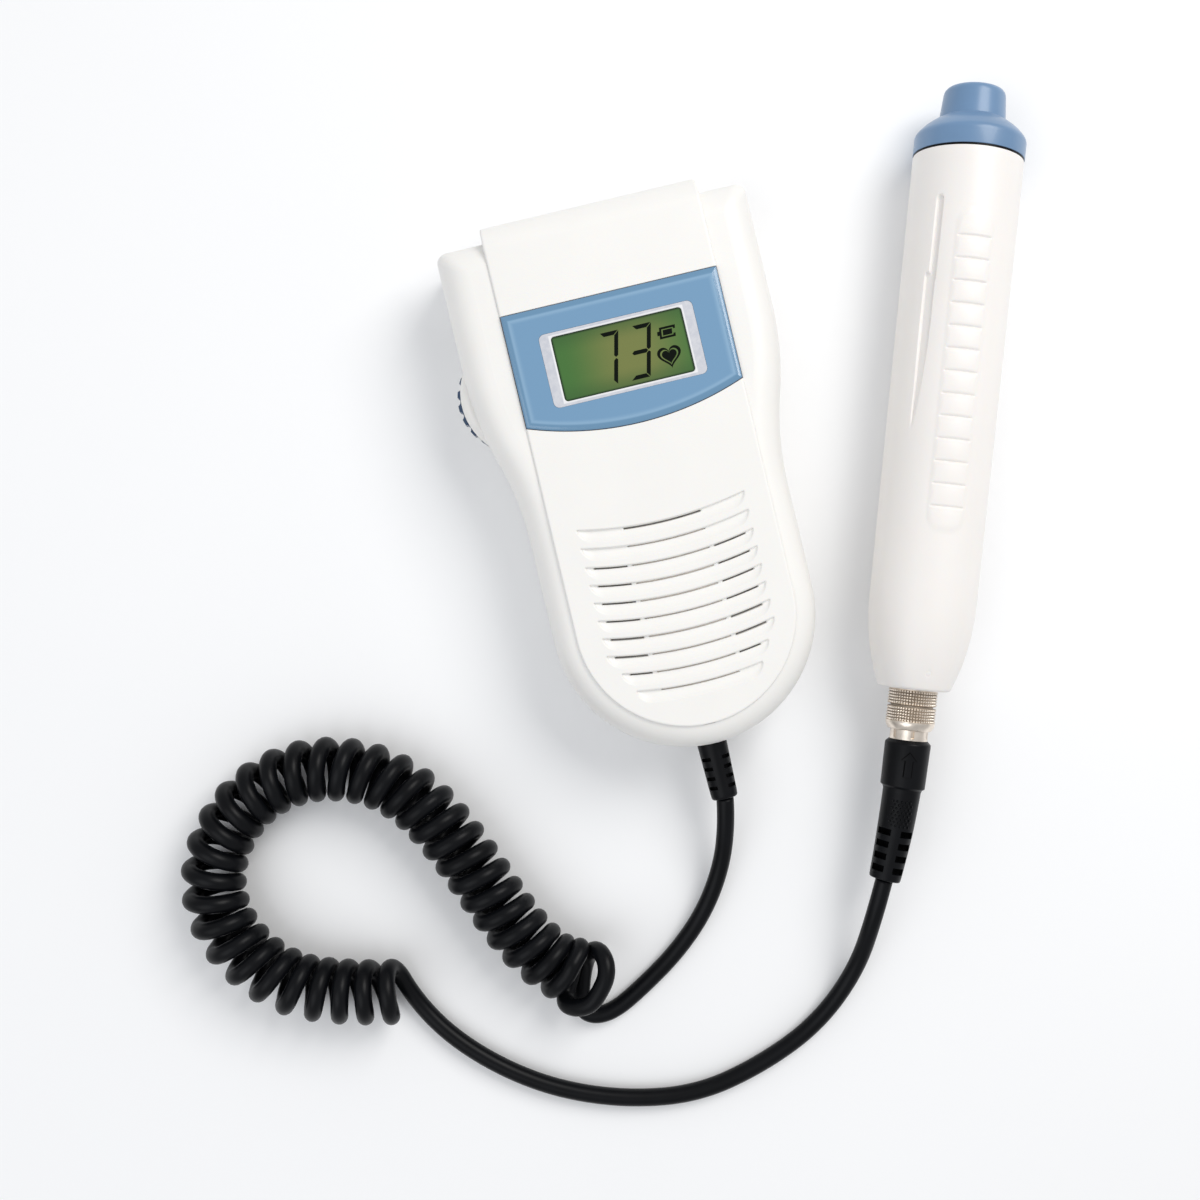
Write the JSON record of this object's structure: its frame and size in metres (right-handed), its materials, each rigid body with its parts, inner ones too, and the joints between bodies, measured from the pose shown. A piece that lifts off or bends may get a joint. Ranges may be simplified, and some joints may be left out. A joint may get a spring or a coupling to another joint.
{
  "type": "vascular doppler",
  "caption": "Hand-held doppler unit with display, loudspeaker louvres and volume wheel, joined by a curly cord and locking plug to a pencil ultrasound probe.",
  "frame": {"origin": "on the flat back of the main unit, at the middle of its length and width", "axes": "+X to the right of the main unit seen from its front, +Y towards its display end, +Z out of its front"},
  "size_m": [0.256, 0.2412, 0.0293],
  "materials": {
    "white_shell": "satin",
    "blue_trim": "satin",
    "window_blue": "polished",
    "lcd_bezel": "satin",
    "lcd_glass": "polished",
    "clear_acrylic": "diffusing",
    "circuit_board": "solder mask",
    "chip_black": "matt",
    "zinc_steel": "zinc plated",
    "speaker_paper": "fibrous",
    "ferrite": "ground",
    "cell_wrap": "printed film, bare",
    "nickel": "nickel plated",
    "black_rubber": "satin",
    "black_plastic": "satin",
    "ceramic": "fired",
    "epoxy": "cast",
    "gold_pin": "plated"
  },
  "bodies": {
    "unit": {"front_shell": "white_shell", "rear_shell": "white_shell", "front_panel": "white_shell", "display_window": "window_blue", "lcd_frame": "lcd_bezel", "lcd_panel": "lcd_glass", "backlight": "clear_acrylic", "main_board": "circuit_board", "board_chips": "chip_black", "speaker_frame": "zinc_steel", "speaker_cone": "speaker_paper", "speaker_magnet": "ferrite", "batteries": "cell_wrap", "contact_tabs": "zinc_steel", "contact_springs": "zinc_steel", "volume_pot": "zinc_steel", "pot_board": "circuit_board", "headphone_jack": "chip_black", "case_screws": "zinc_steel", "unit_strain_relief": "black_rubber", "cord_lead_unit": "black_rubber", "cord_coil": "black_rubber", "cord_lead_probe": "black_rubber", "plug_shell": "nickel", "plug_insert": "black_plastic", "plug_body": "black_rubber"},
    "volume_wheel": {"volume_wheel": "blue_trim"},
    "battery_cover": {"battery_cover": "white_shell"},
    "plug_sleeve": {"plug_sleeve": "nickel"},
    "probe": {"probe_handle": "white_shell", "probe_cap": "blue_trim", "cap_seal": "black_rubber", "crystals": "ceramic", "crystal_backing": "epoxy", "probe_board": "circuit_board", "receptacle": "nickel", "receptacle_nut": "nickel", "receptacle_insert": "black_plastic", "receptacle_pins": "gold_pin"}
  },
  "joints": [
    {"name": "volume_turn", "type": "hinge", "parent": "unit", "child": "volume_wheel", "pos_m": [-0.0296, 0.0276, 0.015], "axis": [0, 0, 1], "range_deg": [0, 300]},
    {"name": "battery_cover_slide", "type": "slide", "parent": "unit", "child": "battery_cover", "axis": [0, 1, 0], "range_m": [0, 0.06]},
    {"name": "plug_sleeve_slide", "type": "slide", "parent": "unit", "child": "plug_sleeve", "axis": [-0.3305, -0.9438, 0], "range_m": [0, 0.0015], "stiffness_N_per_m": 500},
    {"name": "probe_unplug", "type": "slide", "parent": "unit", "child": "probe", "axis": [0.3305, 0.9438, 0], "range_m": [0, 0.015]}
  ]
}
